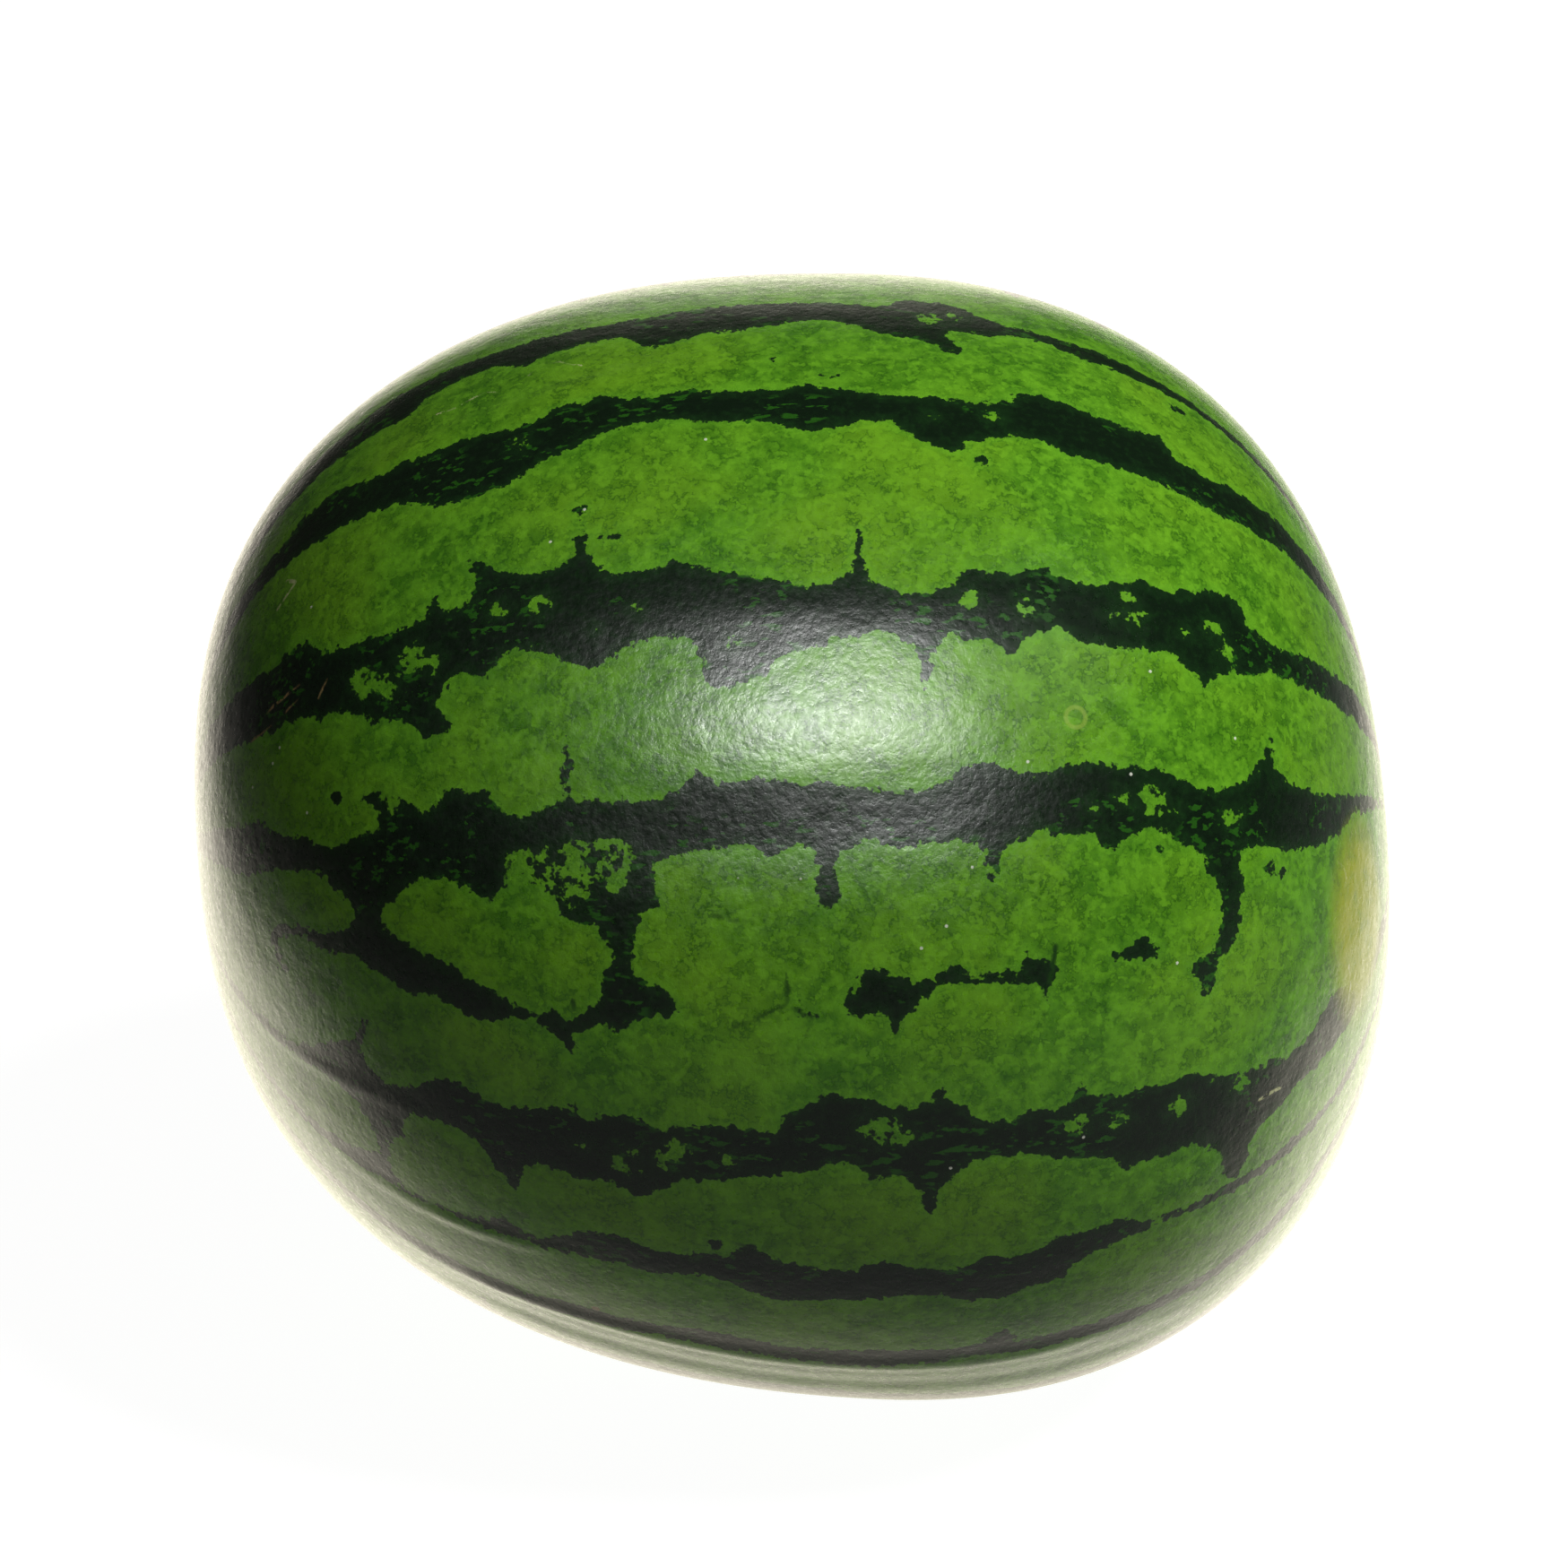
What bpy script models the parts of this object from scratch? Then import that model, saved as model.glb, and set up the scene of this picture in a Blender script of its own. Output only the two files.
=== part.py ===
"""A whole watermelon lying on its side, as one closed solid.

X runs from the stem end to the blossom end, Z is up, and Y points to the back.
The origin is on the surface the fruit lies on, below the middle of its box.
"""
import math

import bmesh
import bpy
from mathutils import Vector

# Driving dimensions, in metres
STEM_LENGTH = 0.140        # from the heart to the stem end, before that end is blunted
BLOSSOM_LENGTH = 0.1035    # from the heart to the blossom end
GIRTH_RADIUS = 0.107
PRESSED_DEPTH = 0.0035     # how much its own weight and its bed have flattened the underside

# Shape of the lengthwise profile: 2 is an ellipsoid, more is squarer at the shoulders
FULLNESS = 2.36


def facing(lean, turn):
    """Direction that leans towards the blossom end, and turns from the top towards the front, in degrees."""
    lean = math.radians(lean)
    turn = math.radians(turn)
    return Vector((math.sin(lean), -math.cos(lean) * math.sin(turn), math.cos(lean) * math.cos(turn)))


STEM_END = facing(-90.0, 0.0)
BLOSSOM_END = facing(90.0, 0.0)

# Broad uneven growth: way it faces, height as a share of the radius, and tightness
SWELLINGS = (
    (STEM_END, -0.12, 1.5),                # blunted stem end
    (facing(24.0, 170.0), 0.14, 1.4),      # belly, fuller towards the blossom end
    (facing(-35.0, -30.0), 0.08, 2.4),     # shoulder near the stem
    (facing(-20.0, 205.0), 0.06, 5.0),     # underside that it lies on
)

# Dimples at the two ends: way they face, depth, and radius
DIMPLES = (
    (STEM_END, 0.0030, 0.009),
    (BLOSSOM_END, 0.0015, 0.007),
)

# Rows of faces along each side of the cube that is blown up into the fruit
ROWS = 20

RIND_COLOUR = (0.020, 0.075, 0.015, 1.0)
RIND_ROUGHNESS = 0.32


def clear_scene():
    for old in list(bpy.data.objects):
        bpy.data.objects.remove(old, do_unlink=True)


def rind_material():
    material = bpy.data.materials.new("rind")
    material.use_nodes = True
    shader = material.node_tree.nodes["Principled BSDF"]
    shader.inputs["Base Color"].default_value = RIND_COLOUR
    shader.inputs["Roughness"].default_value = RIND_ROUGHNESS
    shader.inputs["Metallic"].default_value = 0.0
    return material


def radius_towards(way):
    """Distance from the heart to the skin, along the unit vector way."""
    half_length = BLOSSOM_LENGTH if way.x > 0.0 else STEM_LENGTH
    along = abs(way.x) / half_length
    across = math.hypot(way.y, way.z) / GIRTH_RADIUS
    radius = (along**FULLNESS + across**FULLNESS) ** (-1.0 / FULLNESS)
    growth = 1.0
    for middle, height, tightness in SWELLINGS:
        growth += height * math.exp(tightness * (way.dot(middle) - 1.0))
    radius *= growth
    for middle, depth, dimple_radius in DIMPLES:
        distance = radius * way.angle(middle)
        radius -= depth * math.exp(-((distance / dimple_radius) ** 2))
    return radius


def even_way(corner):
    """Turns a point on the cube into a direction, so that rows are evenly spaced by angle."""
    quarter = math.pi / 4.0
    return Vector([math.tan(part * quarter) for part in corner]).normalized()


def build_fruit():
    shape = bmesh.new()
    bmesh.ops.create_cube(shape, size=2.0)
    bmesh.ops.subdivide_edges(shape, edges=shape.edges[:], cuts=ROWS - 1, use_grid_fill=True)
    for vert in shape.verts:
        way = even_way(vert.co)
        vert.co = way * radius_towards(way)

    # The underside is pressed flat where the fruit rests
    rest_level = min(vert.co.z for vert in shape.verts) + PRESSED_DEPTH
    for vert in shape.verts:
        vert.co.z = max(vert.co.z, rest_level)

    # The box's middle goes over the origin, and the flat spot on the ground
    middle_x = (min(v.co.x for v in shape.verts) + max(v.co.x for v in shape.verts)) / 2.0
    middle_y = (min(v.co.y for v in shape.verts) + max(v.co.y for v in shape.verts)) / 2.0
    bmesh.ops.translate(shape, verts=shape.verts, vec=(-middle_x, -middle_y, -rest_level))
    bmesh.ops.recalc_face_normals(shape, faces=shape.faces)

    mesh = bpy.data.meshes.new("watermelon")
    shape.to_mesh(mesh)
    shape.free()
    mesh.shade_smooth()
    mesh.materials.append(rind_material())
    fruit = bpy.data.objects.new("watermelon", mesh)
    bpy.context.collection.objects.link(fruit)
    return fruit


clear_scene()
build_fruit()
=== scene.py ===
"""The looks of a whole striped watermelon lying on its side.

A place on the rind is given as (along, turn): along is in millimetres from the heart, positive
towards the blossom end, and turn is in degrees about the stem axis, 0 on top and 90 at the front.
"""

import math

import bpy
import numpy as np
from mathutils import Matrix, Vector


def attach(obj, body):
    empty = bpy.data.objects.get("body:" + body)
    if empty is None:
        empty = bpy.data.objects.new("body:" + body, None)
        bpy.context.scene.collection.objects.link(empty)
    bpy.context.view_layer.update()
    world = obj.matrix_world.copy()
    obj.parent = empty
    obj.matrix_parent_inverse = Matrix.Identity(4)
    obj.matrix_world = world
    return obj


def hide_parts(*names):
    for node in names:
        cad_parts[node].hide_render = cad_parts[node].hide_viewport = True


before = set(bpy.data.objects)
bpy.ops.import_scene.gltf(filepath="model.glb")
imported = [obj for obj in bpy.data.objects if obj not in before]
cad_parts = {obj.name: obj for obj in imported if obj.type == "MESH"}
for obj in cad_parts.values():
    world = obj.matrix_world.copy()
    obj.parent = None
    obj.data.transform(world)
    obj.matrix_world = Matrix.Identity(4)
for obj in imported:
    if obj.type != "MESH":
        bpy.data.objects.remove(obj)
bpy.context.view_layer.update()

# ---------------------------------------------------------------- the grown shape, in metres
STEM_LENGTH = 0.140
BLOSSOM_LENGTH = 0.1035
GIRTH_RADIUS = 0.107
PRESSED_DEPTH = 0.0035
FULLNESS = 2.36
# Broad swellings: lean towards the blossom end, turn, height as a share of the radius, tightness
SWELLINGS = (
    (-90.0, 0.0, -0.12, 1.5),
    (24.0, 170.0, 0.14, 1.4),
    (-35.0, -30.0, 0.08, 2.4),
    (-20.0, 205.0, 0.06, 5.0),
)
# Dimples at the stem and the blossom end: lean, depth, radius
DIMPLES = ((-90.0, 0.0030, 0.009), (90.0, 0.0015, 0.007))
ROWS = 128                 # rows of faces along each side of the cube blown up into the fruit
FIRST_TURN = -33.0         # turns are counted from here to a full circle further
STEM_TIP = -132.0          # along, a little past the stem end
BLOSSOM_TIP = 112.0        # along, a little past the blossom end

# ---------------------------------------------------------------- the dark stripes that face the camera
# Each stripe is an outline: its upper edge from stem to blossom, then its lower edge back.
CROWN_STRIPE = (
    [(-132, -5), (-105, -8), (-95, -9), (-85, -9.2), (-75, -8.8), (-65, -8), (-52, -7.5), (-42, -6.5),
     (-36, -6.8), (-25, -7.6), (-10, -7.4), (0, -7.2), (5, -6.8), (9, -6.3), (12, -6.8), (14, -8.3),
     (18, -8.4), (24, -8.3), (26, -7.2), (29, -5.4), (33, -4.7), (45, -4.2), (50, -4.5), (60, -4.2),
     (80, -4.4), (112, -6)],
    [(-132, 0), (-100, -2), (-90, -1.8), (-85, -1), (-82, -1.2), (-80, -3), (-76, -3.9), (-70, -4),
     (-65, -3.6), (-62, -2.3), (-60, -1.4), (-57, -1.9), (-50, -2.9), (-42, -2.8), (-39, -1.5),
     (-36, 0.2), (-34, 0.5), (-30, 0.1), (-28, -0.4), (-24, -1), (-18, -0.9), (-13, -1.7), (-4, -2.5),
     (-1, -2.7), (2, -2), (6, -0.8), (9, 0.4), (13, 1), (17, 1.6), (20, 2.4), (22, 3.5), (24, 4.6),
     (25, 2.8), (22.5, 0.5), (23, -0.8), (27, -1.2), (31, -0.9), (33, -1.8), (37, -2.3), (42, -2.2),
     (46, -1.4), (50, -1), (62, -1.5), (80, -2.2), (112, -2)],
)
UPPER_STRIPE = (
    [(-132, 7), (-115, 8.5), (-108, 8), (-104, 6.5), (-98, 6), (-95, 7), (-90, 8.3), (-82, 8.8),
     (-78, 9.2), (-68, 9.6), (-60, 10.2), (-56, 9.8), (-54, 8.9), (-51, 8.3), (-48, 8.8), (-45, 8.3),
     (-42, 8.5), (-40, 9.5), (-35, 9.6), (-27, 9.1), (-25, 9.7), (-13, 10.4), (-8, 10.3), (-5, 9.5),
     (-2, 10.3), (3, 10.9), (8, 11.7), (15, 12), (20, 11.8), (25, 12.2), (30, 11.8), (34, 11),
     (35, 9.6), (40, 9.3), (44, 9.4), (48, 10.2), (57, 11), (61, 10.2), (62, 9.5), (64, 11.5),
     (66, 13), (72, 13), (76, 12), (88, 10.5), (112, 9)],
    [(-132, 14), (-115, 13.2), (-108, 13), (-100, 14), (-88, 14.8), (-83, 16), (-80, 17), (-77, 18.3),
     (-72, 18.9), (-63, 18.6), (-60, 18), (-57, 17), (-54, 16.2), (-50, 15.4), (-46, 14.6), (-42, 13.9),
     (-37, 13.4), (-29, 13.8), (-25, 14.6), (-14, 15), (-10, 15.8), (-6, 16.7), (-1, 16.4), (4, 15.8),
     (9, 15.4), (13, 16.6), (16, 18.5), (20, 19.4), (23, 19.6), (24.5, 18.2), (30, 17.2), (34, 16.6),
     (39, 16.8), (43, 17.8), (48, 18.3), (60, 18.1), (65, 18.6), (70, 19), (76, 18.8), (82, 17.8),
     (88, 16.8), (112, 15)],
)
BROW_STRIPE = (
    [(-132, 30), (-115, 30.6), (-112, 30.8), (-109, 31.5), (-105, 30.2), (-102, 30), (-100, 32.5),
     (-98, 33.6), (-92, 34), (-86, 34.3), (-82, 34.1), (-78, 33.4), (-77, 32), (-76, 30.6), (-75, 32.3),
     (-74, 33.4), (-71, 33.2), (-69, 32.8), (-68.3, 30.5), (-69.5, 28.5), (-70, 26.2), (-68, 28),
     (-65, 29.2), (-62, 30.2), (-59, 30.9), (-55, 31.1), (-51, 30.6), (-49.2, 29.5), (-49, 27),
     (-49, 24.3), (-48, 24.4), (-48, 27), (-47, 29.8), (-45, 31.5), (-42, 32.6), (-34, 32.6),
     (-31, 31.4), (-28, 32.6), (-20, 33.5), (-16, 34.2), (-12, 34.8), (-8, 35.5), (-4, 35.6), (0, 35.3),
     (2, 34.4), (2.9, 32), (3.2, 29.6), (4.4, 29.6), (4.1, 32), (4.6, 34.8), (8, 36), (12, 36.9),
     (16, 36.7), (20, 36.2), (22, 35), (24, 33.7), (26, 34.5), (30, 34.7), (35, 34), (38, 33.2),
     (40, 34.3), (44, 34.8), (50, 34.5), (53, 33.7), (56, 33.1), (60, 33.9), (65, 33.4), (68, 32.4),
     (71, 31.7), (74, 32), (76, 32.9), (77, 34.6), (79, 35.8), (82, 36.5), (86, 36.4), (90, 35.2),
     (95, 34.5), (98, 33), (112, 32)],
    [(-132, 40), (-118, 41.2), (-113, 42.2), (-106, 42), (-102, 41.8), (-99, 43.4), (-96, 42.8),
     (-93, 43.4), (-90, 44.6), (-88, 45.8), (-86, 45.4), (-83, 45.7), (-80, 47), (-78.5, 48.4),
     (-75, 48.3), (-72.5, 47.7), (-74, 46.4), (-76, 44.8), (-75, 43.6), (-74, 42), (-71, 41.2),
     (-69, 41.6), (-67, 42.7), (-65, 41.5), (-63, 40.1), (-60, 39.5), (-56, 40.2), (-53, 41.2),
     (-50, 42.2), (-47, 43), (-44, 42.2), (-41, 40.9), (-37, 40.2), (-33, 40.2), (-29, 40.7), (-27, 41.5),
     (-25.2, 43.6), (-24.6, 45.8), (-22, 45.9), (-18, 45.2), (-14, 44.6), (-12, 43.2), (-8, 42.4),
     (-4, 42), (-2, 41.3), (6, 40.8), (10, 41.4), (13, 42.7), (14.2, 44.6), (14.4, 46.8), (15.6, 46.8),
     (16, 44.5), (18, 41.8), (20, 41.1), (24, 42.2), (27, 41.4), (30, 42.8), (31.5, 43.4), (33, 41.6),
     (37, 40.8), (40, 40.2), (43, 41.2), (47, 41.7), (57, 41.6), (62, 41.9), (65, 43.2), (67.5, 45.1),
     (69, 43.2), (73, 42.5), (77, 42), (80, 41), (84, 40.4), (90, 40.8), (98, 41), (112, 40)],
)
MIDDLE_STRIPE = (
    [(-132, 57), (-118, 57.5), (-115, 56.8), (-113, 56.6), (-111, 58), (-109, 59.3), (-106, 59.9),
     (-102, 59.8), (-100, 60.6), (-97, 61.1), (-94, 60.7), (-91, 59.8), (-88, 58.6), (-87.5, 57),
     (-88.5, 55.9), (-91, 55.3), (-90, 54.5), (-87, 54.3), (-84, 55.3), (-80, 57), (-78, 57.6),
     (-77, 56.5), (-75, 55.2), (-73, 54.6), (-70, 55.2), (-67, 55), (-65, 56.5), (-63, 57.8),
     (-60, 58.5), (-57, 57.6), (-54, 56.8), (-52.3, 56.2), (-52, 53), (-51.3, 49.8), (-50.8, 53),
     (-50.5, 56.6), (-46, 56.8), (-40, 57.1), (-35, 56.9), (-31, 56), (-29, 54.8), (-28, 53.6),
     (-26, 54.8), (-24, 55.3), (-15, 55), (-10, 55.6), (0, 56.3), (10, 56.9), (15, 57), (18, 56.4),
     (21, 55.2), (24, 54.4), (28, 54.6), (32, 55.2), (38, 55.5), (41, 54.6), (46, 54.1), (50, 54.6),
     (59, 54.9), (61, 56), (65, 56.8), (69, 57.3), (72, 56.7), (75, 55.8), (77, 54.5), (79, 52.3),
     (81, 49.6), (80.3, 53.6), (82, 55.4), (85, 56.4), (90, 57.4), (100, 57.5), (112, 57)],
    [(-132, 66), (-118, 66.8), (-113, 66.2), (-110, 65.3), (-103, 64.9), (-100, 64.7), (-98, 65.8),
     (-97, 67.2), (-94, 68.5), (-92.4, 70), (-93, 71.6), (-95, 72.6), (-97, 73.6), (-101, 73.4),
     (-105, 73.6), (-109, 74.6), (-111, 77), (-110.5, 80), (-109.5, 82.6), (-107.5, 82.6), (-108.5, 80),
     (-109, 77.8), (-108, 76.2), (-105, 75.2), (-102, 75.4), (-99.5, 76.6), (-97, 75.8), (-94, 75.9),
     (-91, 77.2), (-88, 77.8), (-85, 79.5), (-82, 79.9), (-78, 79.4), (-74, 80.3), (-72, 81.3),
     (-66, 81.4), (-62, 80.9), (-58, 81), (-56, 82.2), (-54, 83.2), (-52, 84.4), (-51.5, 82),
     (-49, 81), (-46, 80.5), (-43.5, 81.5), (-41, 80.2), (-38, 79.5), (-34, 79.3), (-32.6, 78.8),
     (-33, 77), (-34, 76), (-37, 76.2), (-39, 75.4), (-41, 74), (-40.5, 72), (-39.5, 70.2),
     (-38, 68.7), (-35.5, 67.8), (-35.8, 65.8), (-36.2, 63.6), (-33, 62.8), (-25, 62.2), (-20, 61.4),
     (-17, 61.8), (-14, 62.9), (-10, 61.7), (-7, 62.6), (-5.6, 64), (-6.4, 66), (-5.5, 68), (-3.5, 68.4),
     (-2, 67), (-2.6, 64.5), (-1, 62.4), (3, 61.6), (12, 62.3), (18, 61.6), (22, 61.9), (25, 62.6),
     (25.6, 65.8), (26.8, 65.4), (28, 63.4), (30, 62.2), (33, 61.9), (35, 60.7), (38, 61.8),
     (46, 61.8), (47.5, 63.3), (49.5, 63.2), (52, 62), (56, 60.9), (59, 61.8), (62, 63), (65, 64),
     (66.8, 66), (68.3, 68.5), (69.2, 71.5), (68.5, 75), (66, 76.4), (63.3, 77), (63.8, 78.6),
     (65, 79.6), (65.6, 81.8), (67.3, 80), (68.3, 78.5), (69.5, 76.6), (72, 75.4), (72.8, 73), (73, 70),
     (74, 68.5), (73.2, 66.5), (74, 64.4), (78, 64.1), (81, 64.8), (85, 65.5), (94, 65), (96, 63),
     (98, 61), (112, 60)],
)
LOWER_STRIPE = (
    [(-132, 95), (-108, 96), (-106, 95.3), (-103, 93.3), (-100, 91.5), (-97.5, 89.8), (-95, 89.4),
     (-93.3, 87.3), (-92.3, 85), (-91.5, 85.3), (-92.8, 88.5), (-93.3, 90.8), (-92, 92.5), (-89, 93.8),
     (-86, 93.7), (-83, 92.8), (-80, 91.2), (-77, 90.1), (-74, 90.3), (-71, 91.3), (-68, 92.2),
     (-64, 92.2), (-60, 91.4), (-54, 91.3), (-52.5, 89.8), (-51.5, 91.8), (-47, 91.4), (-40, 91),
     (-37, 92.3), (-34, 92), (-30, 91.6), (-22, 91.2), (-18, 91.7), (-15, 91.9), (-14, 90.3),
     (-11, 89.2), (-8, 88.2), (-5, 87.5), (-1, 87.6), (3, 88), (7, 88.8), (11, 88.9), (14, 88),
     (15.8, 86.5), (17, 87.9), (20, 88.6), (21.5, 90), (24, 90.9), (28, 91), (31, 90.6), (33, 90),
     (38, 90.2), (40.5, 89.5), (42, 88), (44, 89.3), (47, 89.8), (50, 90), (52, 89.4), (55, 90),
     (64, 90.1), (66, 90.6), (68, 91.8), (72, 92.6), (76, 92.8), (79, 93.5), (82, 94.1), (86, 93.8),
     (89, 92.5), (91, 90.7), (92.5, 90.6), (95, 91.5), (112, 93)],
    [(-132, 99), (-106, 97.7), (-100, 98), (-95.5, 99.5), (-94, 101), (-92.5, 103), (-91, 105.5),
     (-92, 108.5), (-89, 108), (-89.3, 105), (-88.5, 102.8), (-86.3, 102), (-86, 100), (-84, 97.4),
     (-80, 97.1), (-76, 97.4), (-72, 98.2), (-70, 99.6), (-68.5, 101.5), (-66, 103), (-64, 105),
     (-63.8, 102), (-62, 100.2), (-59, 99.3), (-55, 99.3), (-52, 100.5), (-48, 100), (-44, 100.6),
     (-41, 101.5), (-38, 100.4), (-35, 99.8), (-32, 98.3), (-25, 98), (-21, 97.3), (-17, 97.3),
     (-13, 96.7), (-9, 96.6), (-5, 95.6), (-2, 95.3), (0, 95.7), (3, 97.1), (6, 96.7), (9, 97),
     (11.5, 98.2), (12.8, 100.5), (13.7, 101.9), (14.5, 99.5), (17, 97.2), (21, 95.6), (25, 95.2),
     (30, 95.2), (35, 95.6), (40, 96.4), (47, 97.4), (50, 99.2), (60, 99.3), (64, 99.5), (67, 100.2),
     (69, 102), (70.3, 104), (70, 106.3), (72, 107.8), (74.3, 107), (75, 104), (77, 102.5),
     (80, 101.8), (84, 100.2), (92, 100), (112, 98)],
)
CHIN_STRIPE = (
    [(-132, 110), (-106, 111.5), (-100, 110.3), (-95, 109.2), (-92, 108), (-90, 108), (-89, 110),
     (-87, 112), (-83, 112.6), (-79, 112.3), (-71, 111.2), (-69, 110), (-67, 109.5), (-65, 110.9),
     (-62, 111.5), (-59, 111.1), (-56, 109.8), (-53, 108.3), (-45, 107.9), (-42, 108.6), (-39, 109.3),
     (-34, 109.2), (-29, 108.8), (-25, 108.8), (-22, 107), (-20, 106.1), (-18, 107.7), (-14, 109),
     (-5, 109.7), (0, 109.5), (3, 108.6), (6, 108.1), (9, 108.8), (13, 109.4), (17, 109.7),
     (21, 109), (24, 108.2), (31, 108.6), (35, 107.6), (38, 106.4), (46, 106.6), (49, 105.9),
     (52, 107.2), (56, 108), (64, 108.4), (72, 108.3), (78, 109), (112, 111)],
    [(-132, 114), (-106, 113.6), (-90, 113.1), (-80, 113), (-66, 112.6), (-60, 112.9), (-52, 112.5),
     (-45, 112.7), (-40, 113.1), (-30, 112.4), (-25, 112.6), (-22, 113.5), (-18, 114.8), (-14, 115.3),
     (-10, 114.8), (-5, 114.3), (0, 114.5), (5, 113.8), (10, 113.4), (15, 113.6), (20, 115),
     (25, 114.5), (28, 114.9), (31, 113.8), (39, 113), (41, 111.3), (44, 110.5), (48, 109.8),
     (52, 109.3), (58, 109.3), (72, 110), (112, 114)],
)
BED_STRIPE = (
    [(-132, 122), (-110, 123.5), (-90, 124.5), (-65, 125), (-58, 124), (-50, 123.8), (-42, 124),
     (-30, 123.3), (-24, 123.5), (-18, 124.5), (-12, 125), (0, 124.6), (10, 124), (18, 124.2),
     (24, 123.5), (26, 121.5), (28, 120.8), (29.5, 122), (30, 123.8), (45, 123.3), (65, 123.8),
     (112, 123)],
    [(-132, 127), (-90, 127.6), (-75, 127.6), (-60, 126.8), (-50, 126.3), (-40, 126), (-30, 126.4),
     (-20, 127), (-10, 127.6), (0, 128), (10, 127), (25, 125.8), (45, 125.8), (70, 126.5), (112, 127)],
)
# Dark patches that stand alone in the light bands
DARK_PATCHES = (
    [(-2, 77.8), (0.5, 76.5), (1, 74.8), (4, 74.2), (6, 74.6), (8, 75.5), (12, 75.6), (15, 75),
     (18, 74.2), (19.5, 73.6), (21, 74.8), (24, 75.3), (31, 75), (32.5, 73), (33.5, 74), (36.5, 74.3),
     (38.3, 75.2), (37, 76.5), (36.3, 77.5), (36.8, 79.3), (35.3, 78.3), (34.5, 77), (33, 76.3),
     (20, 76), (16, 76.2), (14, 77), (12, 78.3), (9.5, 79.3), (7.3, 81.3), (6.3, 79.5), (5, 78.6),
     (0, 79.2), (-1, 78.2)],
    [(48.3, 74.4), (51, 73.8), (54, 72.9), (55.5, 73.8), (57.4, 75), (54, 75.3), (49, 75)],
    [(-45.6, 27.4), (-42, 27.8), (-40.4, 27.2), (-40.4, 28), (-43, 28.6), (-45.4, 28.4)],
)
# Light islands that stand alone in the dark: an outline each
LIGHT_ISLANDS = (
    [(-88.3, 70), (-85, 67.5), (-82, 66), (-78, 65.2), (-74, 65.4), (-70, 66.3), (-67, 67.3), (-64, 66),
     (-60, 65.6), (-57, 65.8), (-54, 67), (-53.5, 69), (-51, 69.5), (-47, 70), (-45, 71.5),
     (-44.2, 73), (-45.5, 74.5), (-46, 76), (-47, 78), (-50, 79.8), (-53, 80.3), (-55, 79.4),
     (-58, 79.9), (-62, 79.4), (-65, 78.8), (-68, 77.6), (-72, 76.7), (-73, 75.6), (-77, 74.9),
     (-81, 73.8), (-85, 72.8), (-87, 71.5)],
)
# Spots: (along, turn, radius in mm). Dark ones lie in light bands; thin ones let green flecks through.
DARK_SPOTS = (
    (-2, 8.2, 0.9), (0.5, 8.3, 0.9), (27, 20.6, 1.1), (-11, 5.3, 0.7), (-48.5, 24.2, 1.2), (-73, 43, 0.9),
    (79, 67.4, 0.9), (81, 68.3, 0.8), (57.7, 63.7, 0.5), (-11, 77.5, 0.6), (-9.5, 79, 0.6), (-7, 79, 0.5),
    (-27, 107, 1.6), (-96, 54.6, 1.1), (67, 1, 1.4),
)
THIN_PLACES = (
    (-60, 13, 3), (18, 14.8, 2.4), (30, 14, 3), (19, -3.6, 3.5), (24, -4.6, 3),
    (-90, 39.9, 4), (-86, 40.3, 3), (-81, 38.4, 4), (-77, 39.4, 3), (-85, 41.6, 3), (-64, 34.6, 2.4),
    (-56, 35, 3.2), (-38, 37, 2.2), (-45.5, 38.6, 1.8), (23.5, 37.4, 3), (34, 37.9, 3), (50.5, 38, 2),
    (55, 37.9, 3), (64, 38.6, 2), (70, 37.2, 2.6), (72, 40, 3.2), (53, 35.6, 2.5), (-20, 41.4, 2.5),
    (-60, 63.6, 4.5), (-55, 63.6, 5), (-49, 63.2, 6), (-44, 63, 5.5), (-43, 65.4, 3), (-51, 65.8, 5),
    (-62, 65, 3), (56, 58.4, 4), (51, 58, 2.4), (72, 60.4, 3), (61, 59.6, 2), (45, 59, 2),
    (-51, 95.6, 2.4), (-42.5, 96.6, 4.5), (-35, 95.8, 4), (-33, 94.4, 3), (-24, 95.4, 2.5),
    (5, 91.4, 4.5), (9, 92, 3), (2, 90.8, 3), (41, 92.4, 3.2), (49, 93, 3), (61, 93.4, 3), (73, 94.4, 3),
    (-85, 56, 3), (-78, 55, 2),
)

# ---------------------------------------------------------------- marks on the rind
# Long soft folds from end to end: turn, half width in degrees, height in metres, from along, to along
FOLDS = (
    (127.5, 1.5, 0.0007, -95, 60), (97.5, 1.3, 0.0004, -125, -78), (113.6, 1.2, 0.0005, -105, -50),
    (134.0, 2.2, -0.0005, -90, 70), (6.0, 1.8, 0.0004, -110, -20), (60.0, 5.0, -0.0006, -60, 40),
    (38.0, 4.0, 0.0004, -80, 60), (186.0, 3.0, 0.0006, -90, 70), (222.0, 2.2, -0.0005, -80, 60),
    (263.0, 3.5, 0.0006, -90, 50), (301.0, 2.0, 0.0004, -60, 80),
)
# Fine pale hairs and tan scratches, each a line of (along, turn)
PALE_HAIRS = (
    [(-76, 1.5), (-72, 1.8), (-66, 1.0), (-64, 2.0)], [(-58, 0.5), (-55, -1.2), (-52, -0.5), (-48, 1.5)],
    [(36, 7.4), (40, 8.3), (44, 8.5), (48, 7.6)], [(-106, 16.3), (-104, 18), (-108, 20.5)],
    [(-110.5, 84), (-110, 87.5), (-107, 89), (-106, 90.5)], [(78, 97.5), (82, 98)],
    [(97, 62), (99, 64), (101, 67), (100, 70)], [(94, 68), (95.5, 70), (96, 72)],
    [(96.5, 88), (97, 92), (96, 97)],
)
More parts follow.
